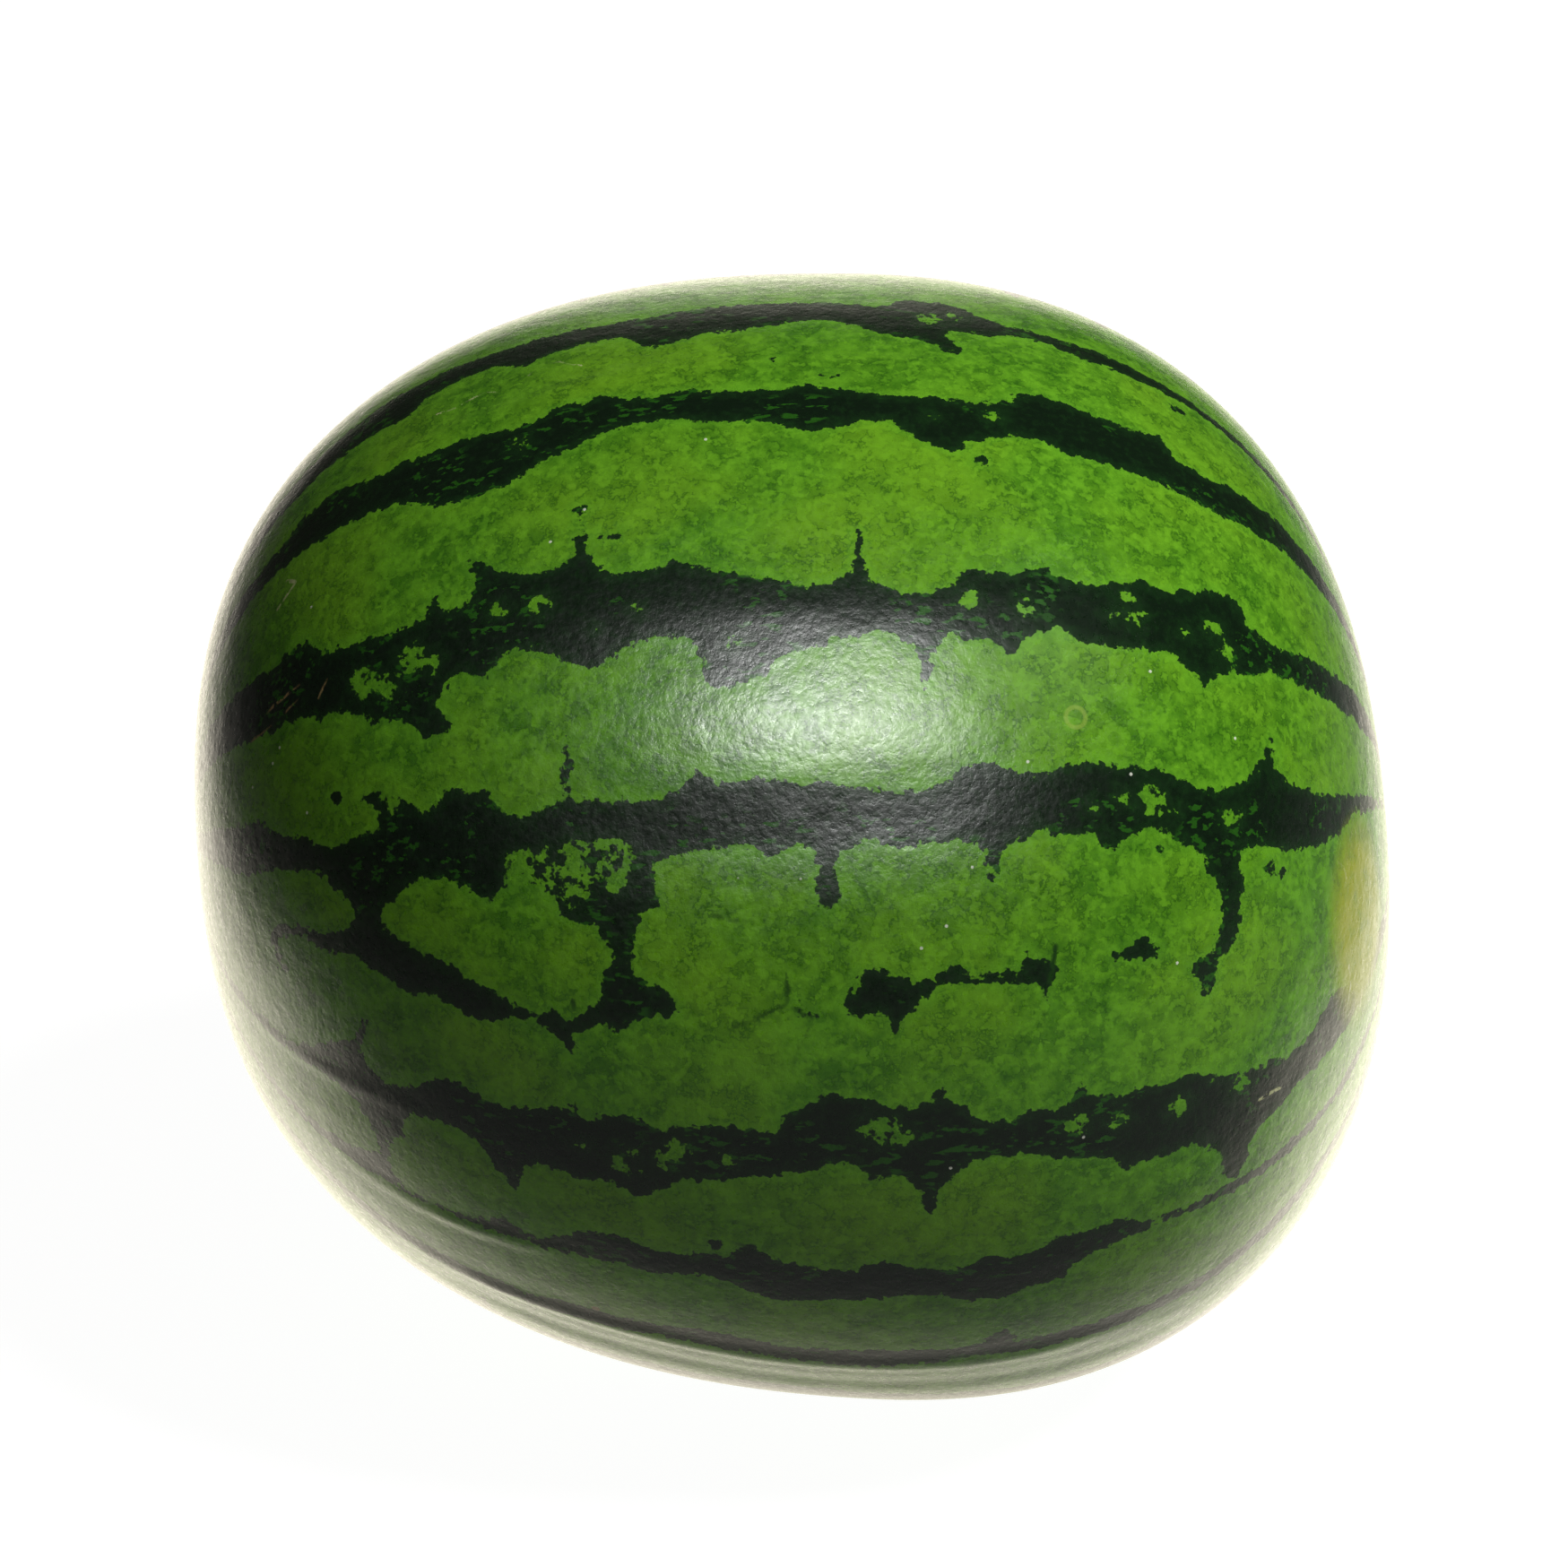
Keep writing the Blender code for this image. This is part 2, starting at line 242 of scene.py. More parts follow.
# Fine dark lines between lobes of the light bands
DARK_VEINS = (
    [(-11.6, 74.2), (-11.4, 77.3), (-16.4, 78.7), (-21.5, 79.9)], [(-11.4, 77.3), (-7.2, 78.9), (-9.5, 82)],
    [(-29.7, 101.4), (-24, 106.1), (-18.2, 107.4), (-13.5, 109.4)], [(-24.5, 68.2), (-20.2, 68.7)],
    [(-50.1, 82), (-51.6, 77.8)], [(38, 72.6), (37.1, 76)],
)
# Small ring: its middle, and its radius in metres
RING_MARK = (42.5, 49.6)
RING_RADIUS = 0.0019
# Yellow oval: along, turn, then its half sizes in metres around the stem axis and lengthwise
RIPE_PATCH = (99.5, 83.0, 0.0185, 0.0135)
TAN_SCRATCHES = (
    [(-110, 38), (-103, 36)], [(-106, 39.5), (-103, 38)], [(-99, 39.3), (-97, 36.8)],
    [(-114, 41.8), (-109, 40.5)],
)
# Dried sap and dust: (along, turn)
PALE_SPECKS = (
    (-107.5, 45.3), (-109, 47.5), (-113.5, 50.5), (-102, 56.2), (-101, 25), (-54, 27.5), (-47.5, 24.2),
    (-20.5, 65), (-9, 65.2), (20, 62.5), (22.5, 64.5), (17.5, 70.2), (12.8, 72.3), (25.5, 60.2),
    (33.3, 54.2), (52.5, 55.5), (57, 44), (60.5, 76.4), (42.5, 94.2), (17.5, 96), (-24.5, 17), (73, 50.8),
    (30, 205), (-42, 231), (11, 262), (-70, 190), (52, 292), (-15, 158),
)
# Small brown marks: (along, turn)
TAN_MARKS = ((-51, 123.5), (-20, 212), (38, 248))

# ---------------------------------------------------------------- the stripes on the far side
# Middle turn of each, in degrees. They are grown by rule, in the manner of the near ones.
FAR_STRIPES = (-24.0, 142.0, 162.0, 184.0, 207.0, 230.0, 252.0, 273.0, 294.0, 314.0)
FAR_HALF_WIDTH = 3.0       # degrees
SEED = 11

# ---------------------------------------------------------------- colours, linear
MOTTLE_GREEN = (0.042, 0.16, 0.006, 1.0)
BAND_GREEN = (0.125, 0.35, 0.014, 1.0)
SUNNY_GREEN = (0.18, 0.37, 0.012, 1.0)
VEIN_GREEN = (0.022, 0.095, 0.005, 1.0)
LOBE_GREEN = (0.11, 0.33, 0.016, 1.0)
STRIPE_BLACK = (0.0035, 0.011, 0.004, 1.0)
STRIPE_GREEN = (0.010, 0.045, 0.008, 1.0)
FLECK_GREEN = (0.016, 0.085, 0.006, 1.0)
DARK_LINE = (0.010, 0.045, 0.005, 1.0)
RIPE_YELLOW = (0.33, 0.37, 0.012, 1.0)
CORK_DARK = (0.10, 0.065, 0.03, 1.0)
CORK_LIGHT = (0.30, 0.22, 0.11, 1.0)
RING_GREEN = (0.30, 0.42, 0.06, 1.0)
HAIR_PALE = (0.50, 0.52, 0.26, 1.0)
SCRATCH_TAN = (0.36, 0.24, 0.10, 1.0)
SPECK_PALE = (0.80, 0.82, 0.70, 1.0)
MARK_BROWN = (0.30, 0.19, 0.09, 1.0)
WHITE = (1.0, 1.0, 1.0, 1.0)
WARM_GROUND = (1.0, 0.93, 0.76, 1.0)
WARM_SKY = (1.0, 0.95, 0.82, 1.0)

# ---------------------------------------------------------------- camera and light
CAMERA_ELEVATION = 30.0    # degrees
CAMERA_ROLL = 1.6          # degrees
CAMERA_DISTANCE = 1.092    # metres, from the plane through the heart
VIEW_WIDTH = 0.3183        # metres across the picture, in that plane
AIM_RIGHT = -0.01155       # metres from the heart to the picture's middle
AIM_UP = 0.00788
LIGHT_DISTANCE = 1.25      # metres, from the heart
# Azimuth, elevation, disk size in metres, and power in watts
WINDOW_LIGHT = (-7.7, 48.8, 0.12, 6.0)   # core of the highlight
SKY_LIGHT = (1.0, 49.5, 0.52, 11.0)      # broad sheen around it
KEY_LIGHT = (62.0, 55.0, 0.60, 16.0)     # all that the fruit's own colour gets
FLOOR_GLOW = 0.97          # how white the floor looks to the camera
FLOOR_HALF_WIDTH = 30.0    # metres


# ================================================================ shape
def facing(lean, turn):
    lean = math.radians(lean)
    turn = math.radians(turn)
    return np.array((math.sin(lean), -math.cos(lean) * math.sin(turn), math.cos(lean) * math.cos(turn)))


def radius_towards(ways):
    """Distance from the heart to the skin along each unit vector."""
    half_length = np.where(ways[:, 0] > 0.0, BLOSSOM_LENGTH, STEM_LENGTH)
    along = np.abs(ways[:, 0]) / half_length
    across = np.hypot(ways[:, 1], ways[:, 2]) / GIRTH_RADIUS
    radius = (along**FULLNESS + across**FULLNESS) ** (-1.0 / FULLNESS)
    growth = np.ones(len(ways))
    for lean, turn, height, tightness in SWELLINGS:
        growth += height * np.exp(tightness * (ways @ facing(lean, turn) - 1.0))
    radius = radius * growth
    for lean, depth, dimple_radius in DIMPLES:
        distance = radius * np.arccos(np.clip(ways @ facing(lean, 0.0), -1.0, 1.0))
        radius = radius - depth * np.exp(-((distance / dimple_radius) ** 2))
    return radius


def fold_height(points):
    """Height in metres of the soft folds that run from end to end."""
    along, turn, _ = place_on_rind(points)
    height = np.zeros(len(points))
    for middle, half_width, rise, start, end in FOLDS:
        wander = 0.8 * np.sin(along / 17.0 + middle)
        across = np.exp(-(((turn - middle - wander) / half_width) ** 2))
        fade = np.clip((along - start) / 25.0, 0.0, 1.0) * np.clip((end - along) / 25.0, 0.0, 1.0)
        height += rise * across * fade
    return height


def cube_sphere(rows):
    """Unit vectors of an evenly divided cube blown up to a sphere, and its quads."""
    steps = np.tan(np.linspace(-math.pi / 4.0, math.pi / 4.0, rows + 1))
    side, up = np.meshgrid(steps, steps, indexing="ij")
    sheets = []
    quads = []
    corner = np.arange((rows + 1) ** 2).reshape(rows + 1, rows + 1)
    one_face = np.stack([corner[:-1, :-1], corner[1:, :-1], corner[1:, 1:], corner[:-1, 1:]], -1)
    for axis in range(3):
        for sign in (1.0, -1.0):
            sheet = np.empty((rows + 1, rows + 1, 3))
            sheet[..., axis] = sign
            sheet[..., (axis + 1) % 3] = side * sign
            sheet[..., (axis + 2) % 3] = up
            quads.append(one_face.reshape(-1, 4) + len(sheets) * corner.size)
            sheets.append(sheet.reshape(-1, 3))
    points = np.concatenate(sheets)
    points /= np.linalg.norm(points, axis=1, keepdims=True)
    keys = np.round(points * 1e6).astype(np.int64)
    _, first, back = np.unique(keys, axis=0, return_index=True, return_inverse=True)
    return points[first], back.reshape(-1)[np.concatenate(quads)]


def place_on_rind(points):
    """(along in mm, turn in degrees, distance from the stem axis in mm) of points about the heart."""
    along = points[:, 0] * 1000.0
    turn = np.degrees(np.arctan2(-points[:, 1], points[:, 2]))
    turn = (turn - FIRST_TURN) % 360.0 + FIRST_TURN
    girth = np.hypot(points[:, 1], points[:, 2]) * 1000.0
    return along, turn, girth


# ================================================================ stripes
def depth_inside(outline, place, reach=12.0):
    """Signed distance in mm to a closed outline on the rind, positive inside, cut off at reach."""
    along, turn, girth = place
    degree = girth * math.pi / 180.0
    corners = np.array(outline, float)
    margin = 6.0
    near = (
        (along > corners[:, 0].min() - reach) & (along < corners[:, 0].max() + reach)
        & (turn > corners[:, 1].min() - margin) & (turn < corners[:, 1].max() + margin)
    )
    at_along, at_turn, at_degree = along[near], turn[near], degree[near]
    closest = np.full(at_along.shape, reach**2)
    inside = np.zeros(at_along.shape, bool)
    for (a0, t0), (a1, t1) in zip(corners, np.roll(corners, -1, axis=0)):
        edge_x = a1 - a0
        edge_y = (t1 - t0) * at_degree
        from_x = at_along - a0
        from_y = (at_turn - t0) * at_degree
        share = (from_x * edge_x + from_y * edge_y) / (edge_x**2 + edge_y**2 + 1e-9)
        share = np.clip(share, 0.0, 1.0)
        closest = np.minimum(closest, (from_x - share * edge_x) ** 2 + (from_y - share * edge_y) ** 2)
        if a0 != a1:
            crosses = (at_along > min(a0, a1)) & (at_along <= max(a0, a1))
            level = t0 + (t1 - t0) * (at_along - a0) / (a1 - a0)
            inside ^= crosses & (level > at_turn)
    depth = np.full(along.shape, -reach)
    depth[near] = np.sqrt(closest) * np.where(inside, 1.0, -1.0)
    return depth


def spot_depth(spot, place):
    """Depth in mm inside a round spot; negative outside it."""
    along, turn, girth = place
    spot_along, spot_turn, spot_radius = spot
    across = (turn - spot_turn) * girth * math.pi / 180.0
    return spot_radius - np.hypot(along - spot_along, across)


def far_edge(rng, start, outward):
    """One edge of a far stripe: light lobes bulge into it, and dark spurs stand between them."""
    edge = []
    along = STEM_TIP
    base = start
    while along < BLOSSOM_TIP:
        lobe = rng.uniform(7.0, 22.0)
        bulge = rng.uniform(0.4, 1.6)
        base += 0.35 * (start - base) + rng.normal(0.0, 0.45)
        for share in np.linspace(0.1, 0.9, 5):
            inset = bulge * math.sqrt(1.0 - (2.0 * share - 1.0) ** 2)
            edge.append((along + share * lobe, base - outward * inset))
        if rng.random() < 0.3:
            spur = rng.uniform(1.0, 4.0)
            edge.append((along + lobe, base + outward * spur))
        along += lobe
    return edge


def far_stripe(middle, rng):
    """Closed outline of a stripe about the turn middle."""
    half = FAR_HALF_WIDTH * rng.uniform(0.8, 1.3)
    upper = far_edge(rng, middle - half - 1.0, -1.0)
    lower = far_edge(rng, middle + half + 1.0, 1.0)
    return upper + lower[::-1]


def stripe_depth(place):
    """How deep each place is inside the dark pattern, in mm; negative in the light bands."""
    depth = np.full(place[0].shape, -12.0)
    near_stripes = (
        CROWN_STRIPE, UPPER_STRIPE, BROW_STRIPE, MIDDLE_STRIPE, LOWER_STRIPE, CHIN_STRIPE, BED_STRIPE,
    )
    for upper, lower in near_stripes:
        depth = np.maximum(depth, depth_inside(upper + lower[::-1], place))
    rng = np.random.default_rng(SEED)
    for middle in FAR_STRIPES:
        depth = np.maximum(depth, depth_inside(far_stripe(middle, rng), place))
    for patch in DARK_PATCHES:
        depth = np.maximum(depth, depth_inside(patch, place))
    for island in LIGHT_ISLANDS:
        depth = np.minimum(depth, -depth_inside(island, place))
    for spot in DARK_SPOTS:
        depth = np.maximum(depth, spot_depth(spot, place))
    for spot in THIN_PLACES:
        thin = np.clip(0.9 * spot_depth(spot, place) - 0.4, -3.0, 1.0)
        depth = np.minimum(depth, 0.85 - thin)
    return depth


def ripeness(points):
    """1 in the yellow oval on the shoulder by the blossom end, 0 away from it."""
    along, turn, around, lengthwise = RIPE_PATCH
    offset = points - np.array(on_rind(along, turn))
    turn = math.radians(turn)
    across = offset @ np.array((0.0, -math.cos(turn), -math.sin(turn)))
    rest = np.sqrt(np.maximum((offset**2).sum(axis=1) - across**2, 0.0))
    reach = np.hypot(across / around, rest / lengthwise)
    return np.clip((1.25 - reach) / 0.5, 0.0, 1.0)


def corkiness(place):
    """1 on the dry scar where the stem broke off and on the small blossom scar, 0 away from them."""
    along, _, girth = place
    stem = np.clip((5.5 - girth) / 1.5, 0.0, 1.0) * (along < 0.0)
    blossom = np.clip((3.5 - girth) / 1.2, 0.0, 1.0) * (along > 0.0)
    return stem + blossom


def on_rind(along, turn):
    """Point about the heart, in metres, of a place on the rind."""
    turn = math.radians(turn)
    low, high = 0.0, 0.15
    for _ in range(40):
        girth = (low + high) / 2.0
        point = np.array((along / 1000.0, -girth * math.sin(turn), girth * math.cos(turn)))
        length = np.linalg.norm(point)
        if length < radius_towards(point[None] / length)[0]:
            low = girth
        else:
            high = girth
    return Vector(point)


# ================================================================ the fruit
def build_rind():
    ways, quads = cube_sphere(ROWS)
    points = ways * radius_towards(ways)[:, None]
    points += ways * fold_height(points)[:, None]
    place = place_on_rind(points)
    dark = stripe_depth(place)

    rest_level = points[:, 2].min() + PRESSED_DEPTH
    points[:, 2] = np.maximum(points[:, 2], rest_level)
    middle = (points.min(axis=0) + points.max(axis=0)) / 2.0
    heart = np.array((-middle[0], -middle[1], -rest_level))

    mesh = bpy.data.meshes.new("watermelon_rind")
    mesh.from_pydata((points + heart).tolist(), [], quads.tolist())
    mesh.update()
    mesh.shade_smooth()
    for name, values in (("dark", dark), ("ripe", ripeness(points)), ("corky", corkiness(place))):
        attribute = mesh.attributes.new(name, "FLOAT", "POINT")
        attribute.data.foreach_set("value", values.astype(np.float32))
    piece = bpy.data.objects.new("watermelon_rind", mesh)
    bpy.context.collection.objects.link(piece)
    return piece, Vector(heart)


# ================================================================ material helpers
class Nodes:
    """Short calls for building a node tree."""

    def __init__(self, tree):
        self.tree = tree

    def add(self, kind, **settings):
        node = self.tree.nodes.new(kind)
        for name, value in settings.items():
            setattr(node, name, value)
        return node

    def plug(self, value, socket):
        if isinstance(value, bpy.types.NodeSocket):
            self.tree.links.new(value, socket)
        else:
            socket.default_value = value

    def math(self, operation, first, second=0.0, third=0.0, clamp=False):
        node = self.add("ShaderNodeMath", operation=operation, use_clamp=clamp)
        for value, socket in zip((first, second, third), node.inputs):
            self.plug(value, socket)
        return node.outputs[0]

    def noise(self, vector, size, detail=2.0, roughness=0.5):
        """Noise from 0 to 1 with features about size metres across."""
        node = self.add("ShaderNodeTexNoise", noise_dimensions="3D")
        self.plug(vector, node.inputs["Vector"])
        node.inputs["Scale"].default_value = 1.0 / size
        node.inputs["Detail"].default_value = detail
        node.inputs["Roughness"].default_value = roughness
        return node.outputs[0]

    def ramp(self, value, low, high, out_low=0.0, out_high=1.0, smooth=True):
        """Goes from out_low to out_high while value goes from low to high."""
        node = self.add("ShaderNodeMapRange", interpolation_type="SMOOTHSTEP" if smooth else "LINEAR")
        self.plug(value, node.inputs["Value"])
        for name, number in zip(("From Min", "From Max", "To Min", "To Max"), (low, high, out_low, out_high)):
            node.inputs[name].default_value = number
        return node.outputs["Result"]

    def mix(self, share, first, second):
        """Colour that goes from first at share 0 to second at share 1."""
        node = self.add("ShaderNodeMix", data_type="RGBA")
        self.plug(share, node.inputs[0])
        self.plug(first, node.inputs[6])
        self.plug(second, node.inputs[7])
        return node.outputs[2]


def near_line(n, where, start, end):
    """Distance in metres from the shaded point to a straight line between two points."""
    run = end - start
    offset = n.add("ShaderNodeVectorMath", operation="SUBTRACT")
    n.plug(where, offset.inputs[0])
    offset.inputs[1].default_value = start
    along = n.add("ShaderNodeVectorMath", operation="DOT_PRODUCT")
    n.plug(offset.outputs["Vector"], along.inputs[0])
    along.inputs[1].default_value = run / max(run.length_squared, 1e-12)
    share = n.math("ADD", along.outputs["Value"], 0.0, clamp=True)
    step = n.add("ShaderNodeVectorMath", operation="SCALE")
    step.inputs[0].default_value = run
    n.plug(share, step.inputs["Scale"])
    gap = n.add("ShaderNodeVectorMath", operation="DISTANCE")
    n.plug(offset.outputs["Vector"], gap.inputs[0])
    n.plug(step.outputs["Vector"], gap.inputs[1])
    return gap.outputs["Value"]


def near_lines(n, where, heart, lines):
    """Distance in metres from the shaded point to the nearest of several lines or spots on the rind."""
    closest = 1.0
    for line in lines:
        corners = [on_rind(*corner) + heart for corner in line]
        for start, end in zip(corners, corners[1:] or corners):
            closest = n.math("MINIMUM", closest, near_line(n, where, start, end))
    return closest


def band_colour(n, where, edge, fine, patches):
    """Light band: bright green, with finer darker mottling and veins."""
    broad = n.noise(where, 0.030, detail=2.0)
    mottle = n.math("ADD", n.math("MULTIPLY", fine, 0.75), n.math("MULTIPLY", patches, 0.85))
    colour = n.mix(n.ramp(mottle, 0.55, 1.05), MOTTLE_GREEN, BAND_GREEN)
    colour = n.mix(n.ramp(broad, 0.35, 0.7, 0.0, 0.4), colour, SUNNY_GREEN)
    veins = n.math("ABSOLUTE", n.math("SUBTRACT", n.noise(where, 0.0032, 3.0, 0.7), 0.5))
    veins = n.math("MULTIPLY", n.ramp(veins, 0.0, 0.05, 0.75, 0.0), n.ramp(patches, 0.40, 0.60, 1.0, 0.25))
    colour = n.mix(veins, colour, VEIN_GREEN)
    return n.mix(n.ramp(edge, -2.2, -0.3, 0.0, 0.35), colour, LOBE_GREEN)


def stripe_colour(n, where, edge, fine):
    """Dark stripe: blackish green, greener near its edge, with scattered flecks stretched lengthwise."""
    greener = n.math("ADD", n.ramp(edge, 0.0, 3.0, 0.35, 0.0), n.ramp(fine, 0.45, 0.8, 0.0, 0.4))
    colour = n.mix(greener, STRIPE_BLACK, STRIPE_GREEN)
    stretch = n.add("ShaderNodeMapping")
    n.plug(where, stretch.inputs["Vector"])
    stretch.inputs["Scale"].default_value = (0.6, 1.5, 1.5)
    flecks = n.ramp(n.noise(stretch.outputs["Vector"], 0.0023, 2.0, 0.6), 0.57, 0.62)
    where_thin = n.ramp(n.noise(where, 0.017, 1.0), 0.50, 0.58)
    return n.mix(n.math("MULTIPLY", flecks, where_thin), colour, FLECK_GREEN)


def bent_place(n, where):
    """The place shaken by up to about a millimetre, so that drawn lines aren't straight."""
    wobble = n.add("ShaderNodeVectorMath", operation="SCALE")
    wobble.inputs["Scale"].default_value = 0.0012
    n.plug(n.noise(where, 0.005, 1.0), wobble.inputs[0])
    bent = n.add("ShaderNodeVectorMath", operation="ADD")
    n.plug(where, bent.inputs[0])
    n.plug(wobble.outputs["Vector"], bent.inputs[1])
    return bent.outputs["Vector"]


def add_marks(n, where, heart, colour, teeth, fine):
    """Dark lines, the ring, pale hairs, tan scratches, specks and brown marks over the colour."""
    bent = bent_place(n, where)
    broken = n.ramp(fine, 0.38, 0.50)
    vein = n.ramp(near_lines(n, bent, heart, DARK_VEINS), 0.0001, 0.0010, 1.0, 0.0)
    vein = n.math("MULTIPLY", vein, n.ramp(n.math("ADD", teeth, n.math("MULTIPLY", vein, 0.25)), 0.52, 0.62))
    colour = n.mix(vein, colour, DARK_LINE)
    ring = n.math("SUBTRACT", near_lines(n, where, heart, [[RING_MARK]]), RING_RADIUS)
    ring = n.ramp(n.math("ABSOLUTE", ring), 0.0002, 0.0006, 0.45, 0.0)
    colour = n.mix(ring, colour, RING_GREEN)
    hair = n.ramp(near_lines(n, bent, heart, PALE_HAIRS), 0.0002, 0.0005, 0.85, 0.0)
    colour = n.mix(n.math("MULTIPLY", hair, broken), colour, HAIR_PALE)
    scratch = n.ramp(near_lines(n, bent, heart, TAN_SCRATCHES), 0.0002, 0.0005, 0.8, 0.0)
    colour = n.mix(n.math("MULTIPLY", scratch, broken), colour, SCRATCH_TAN)
    speck = n.ramp(near_lines(n, where, heart, [[speck] for speck in PALE_SPECKS]), 0.0002, 0.0004, 0.7, 0.0)
    colour = n.mix(speck, colour, SPECK_PALE)
    mark = n.ramp(near_lines(n, where, heart, [[mark] for mark in TAN_MARKS]), 0.0006, 0.0011, 0.9, 0.0)
    return n.mix(mark, colour, MARK_BROWN)


def rind_material(heart):
    material = bpy.data.materials.new("rind")
    material.use_nodes = True
    n = Nodes(material.node_tree)
    shader = material.node_tree.nodes["Principled BSDF"]
    where = n.add("ShaderNodeTexCoord").outputs["Object"]
    dark = n.add("ShaderNodeAttribute", attribute_name="dark").outputs["Fac"]
    ripe = n.add("ShaderNodeAttribute", attribute_name="ripe").outputs["Fac"]
    corky = n.add("ShaderNodeAttribute", attribute_name="corky").outputs["Fac"]

    # Jagged edge: the smooth distance is shaken by noise with teeth about two millimetres apart
    teeth = n.noise(where, 0.0018, detail=2.5, roughness=0.62)
    lobes = n.noise(where, 0.0065, detail=1.0)
    shake = n.math("ADD", n.math("MULTIPLY", n.math("SUBTRACT", teeth, 0.5), 4.2),
                   n.math("MULTIPLY", n.math("SUBTRACT", lobes, 0.5), 1.8))
    edge = n.math("ADD", dark, shake)

    fine = n.noise(where, 0.0016, detail=3.0, roughness=0.6)
    patches = n.noise(where, 0.0055, detail=3.0, roughness=0.65)
    light = band_colour(n, where, edge, fine, patches)
    deep = stripe_colour(n, where, edge, fine)
    colour = n.mix(n.ramp(edge, -0.16, 0.16), light, deep)
    yellow = n.math("MULTIPLY", ripe, n.ramp(patches, 0.30, 0.55, 0.6, 1.0))
    colour = n.mix(yellow, colour, RIPE_YELLOW)
    colour = n.mix(corky, colour, n.mix(n.ramp(fine, 0.35, 0.65), CORK_DARK, CORK_LIGHT))
    colour = add_marks(n, where, heart, colour, teeth, fine)
    n.plug(colour, shader.inputs["Base Color"])

    # Waxy skin: semi-gloss with leathery grain
    grain = n.noise(where, 0.0011, detail=3.0, roughness=0.6)
    n.plug(n.ramp(grain, 0.3, 0.7, 0.25, 0.36, smooth=False), shader.inputs["Roughness"])
    shader.inputs["IOR"].default_value = 1.42
    pits = n.math("ADD", n.math("MULTIPLY", grain, 0.6), n.math("MULTIPLY", n.noise(where, 0.006, 2.0), 1.5))
    bump = n.add("ShaderNodeBump")
    bump.inputs["Strength"].default_value = 0.35
    bump.inputs["Distance"].default_value = 0.0004
    n.plug(pits, bump.inputs["Height"])
    n.plug(bump.outputs["Normal"], shader.inputs["Normal"])
    return material


# ================================================================ stage
def seen_or_thrown(n, seen, for_camera, for_others):
    """One strength where the camera looks, and another for the light thrown on the fruit."""
    return n.math("ADD", n.math("MULTIPLY", seen, for_camera),
                  n.math("MULTIPLY", n.math("SUBTRACT", 1.0, seen), for_others))


def floor_material():
    """White to the camera. Under and behind the fruit it throws light, mostly seen as a mirrored rim."""
    material = bpy.data.materials.new("floor")
    material.use_nodes = True
    n = Nodes(material.node_tree)
    shader = material.node_tree.nodes["Principled BSDF"]
    shader.inputs["Roughness"].default_value = 0.9
    shader.inputs["Specular IOR Level"].default_value = 0.0
    shader.inputs["Base Color"].default_value = (0.3, 0.3, 0.3, 1.0)
    where = n.add("ShaderNodeSeparateXYZ")
    n.plug(n.add("ShaderNodeTexCoord").outputs["Object"], where.inputs[0])
    beside = n.ramp(n.math("ABSOLUTE", n.math("ADD", where.outputs["X"], 0.04)), 0.20, 0.42, 1.0, 0.0)
    beyond = n.ramp(where.outputs["Y"], -0.12, 0.01, 0.0, 1.0)
    path = n.add("ShaderNodeLightPath")
    mirrored = n.math("MULTIPLY_ADD", path.outputs["Is Glossy Ray"], 3.2, 0.06)
    thrown = n.math("MULTIPLY_ADD", n.math("MULTIPLY", beside, beyond), mirrored, 0.02)
    seen = path.outputs["Is Camera Ray"]
    n.plug(seen_or_thrown(n, seen, FLOOR_GLOW, thrown), shader.inputs["Emission Strength"])
    tint = n.mix(seen, WARM_GROUND, WHITE)
    n.plug(tint, shader.inputs["Emission Color"])
    return material


def build_floor():
    half = FLOOR_HALF_WIDTH
    corners = [(-half, -half, 0.0), (half, -half, 0.0), (half, half, 0.0), (-half, half, 0.0)]
    mesh = bpy.data.meshes.new("floor")
    mesh.from_pydata(corners, [], [(0, 1, 2, 3)])
    mesh.materials.append(floor_material())
    floor = bpy.data.objects.new("floor", mesh)
    bpy.context.collection.objects.link(floor)


def looking_from(azimuth, elevation):
    """Unit vector from the fruit towards a viewer: azimuth 0 is in front, at -Y."""
    azimuth = math.radians(azimuth)
    elevation = math.radians(elevation)
    flat = math.cos(elevation)
    return Vector((math.sin(azimuth) * flat, -math.cos(azimuth) * flat, math.sin(elevation)))


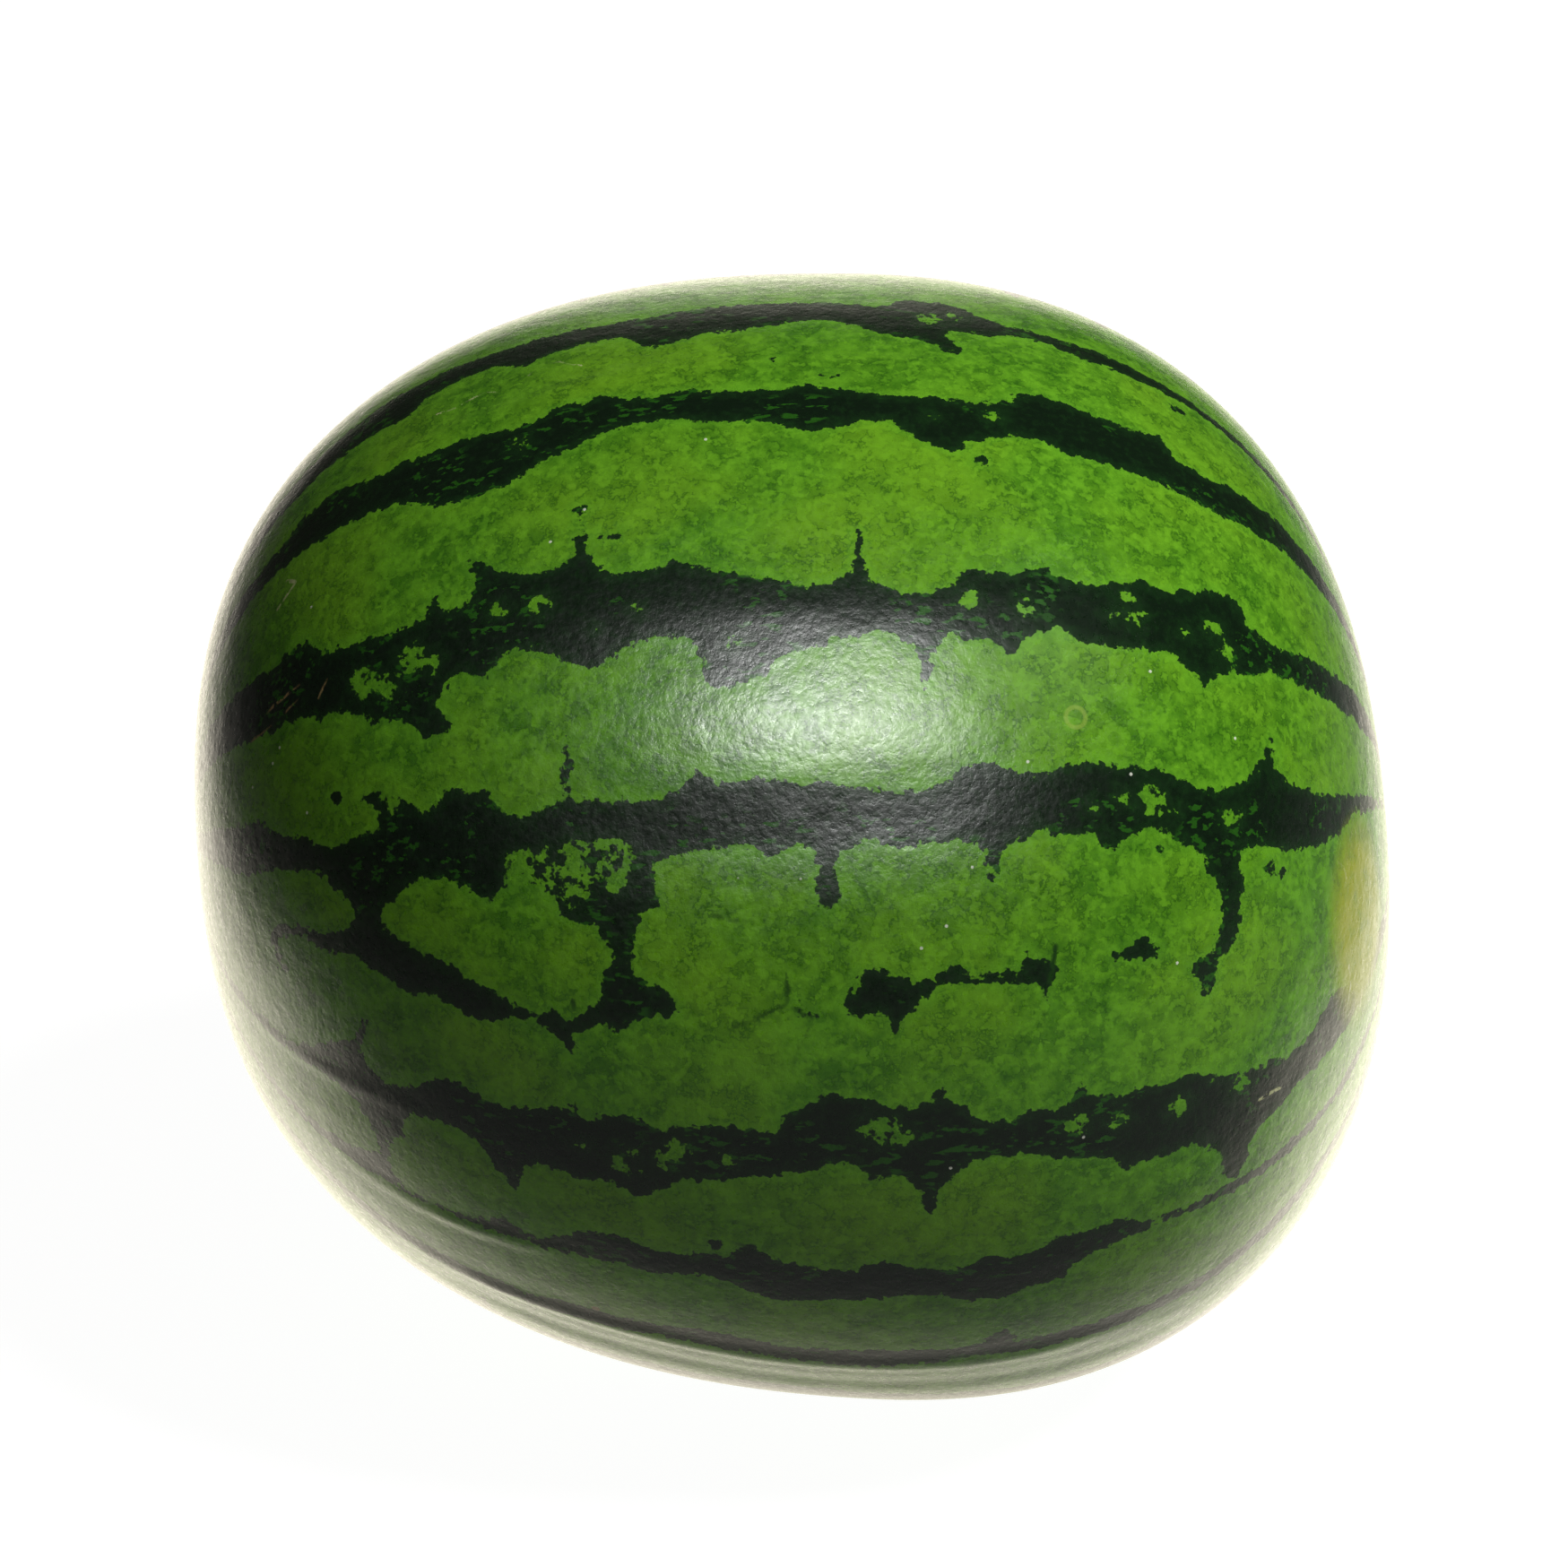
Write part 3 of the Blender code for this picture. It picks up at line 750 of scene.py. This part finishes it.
def build_camera(heart):
    back = looking_from(0.0, CAMERA_ELEVATION)
    right = Vector((1.0, 0.0, 0.0))
    up = back.cross(right)
    data = bpy.data.cameras.new("camera")
    data.sensor_width = 36.0
    data.lens = data.sensor_width * CAMERA_DISTANCE / VIEW_WIDTH
    camera = bpy.data.objects.new("camera", data)
    turn = Matrix((right, up, back)).transposed() @ Matrix.Rotation(-math.radians(CAMERA_ROLL), 3, "Z")
    camera.matrix_world = turn.to_4x4()
    camera.location = heart + right * AIM_RIGHT + up * AIM_UP + back * CAMERA_DISTANCE
    bpy.context.collection.objects.link(camera)
    bpy.context.scene.camera = camera


def soft_light(name, settings, target):
    azimuth, elevation, size, power = settings
    data = bpy.data.lights.new(name, "AREA")
    data.shape = "DISK"
    data.size = size
    data.energy = power
    light = bpy.data.objects.new(name, data)
    towards = looking_from(azimuth, elevation)
    light.location = target + towards * LIGHT_DISTANCE
    light.rotation_mode = "QUATERNION"
    light.rotation_quaternion = towards.to_track_quat("Z", "Y")
    bpy.context.collection.objects.link(light)
    return light


def build_world():
    world = bpy.data.worlds.new("studio")
    bpy.context.scene.world = world
    world.use_nodes = True
    n = Nodes(world.node_tree)
    background = world.node_tree.nodes["Background"]
    way = n.add("ShaderNodeTexCoord").outputs["Generated"]
    away = n.add("ShaderNodeVectorMath", operation="DOT_PRODUCT")
    n.plug(way, away.inputs[0])
    away.inputs[1].default_value = (0.0, 0.995, 0.1)
    glow = n.ramp(away.outputs["Value"], 0.972, 1.0, 0.03, 1.1)
    seen = n.add("ShaderNodeLightPath").outputs["Is Camera Ray"]
    n.plug(seen_or_thrown(n, seen, 1.0, glow), background.inputs["Strength"])
    tint = n.mix(seen, WARM_SKY, WHITE)
    n.plug(tint, background.inputs["Color"])


rind, heart = build_rind()
rind.data.materials.append(rind_material(heart))
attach(rind, "root")
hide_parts("watermelon")

build_floor()
build_camera(heart)
build_world()
window = soft_light("window", WINDOW_LIGHT, heart)
window.visible_diffuse = False
sky = soft_light("sky", SKY_LIGHT, heart)
sky.visible_diffuse = False
key = soft_light("key", KEY_LIGHT, heart)
key.visible_glossy = False
bpy.context.scene.view_settings.view_transform = "Standard"
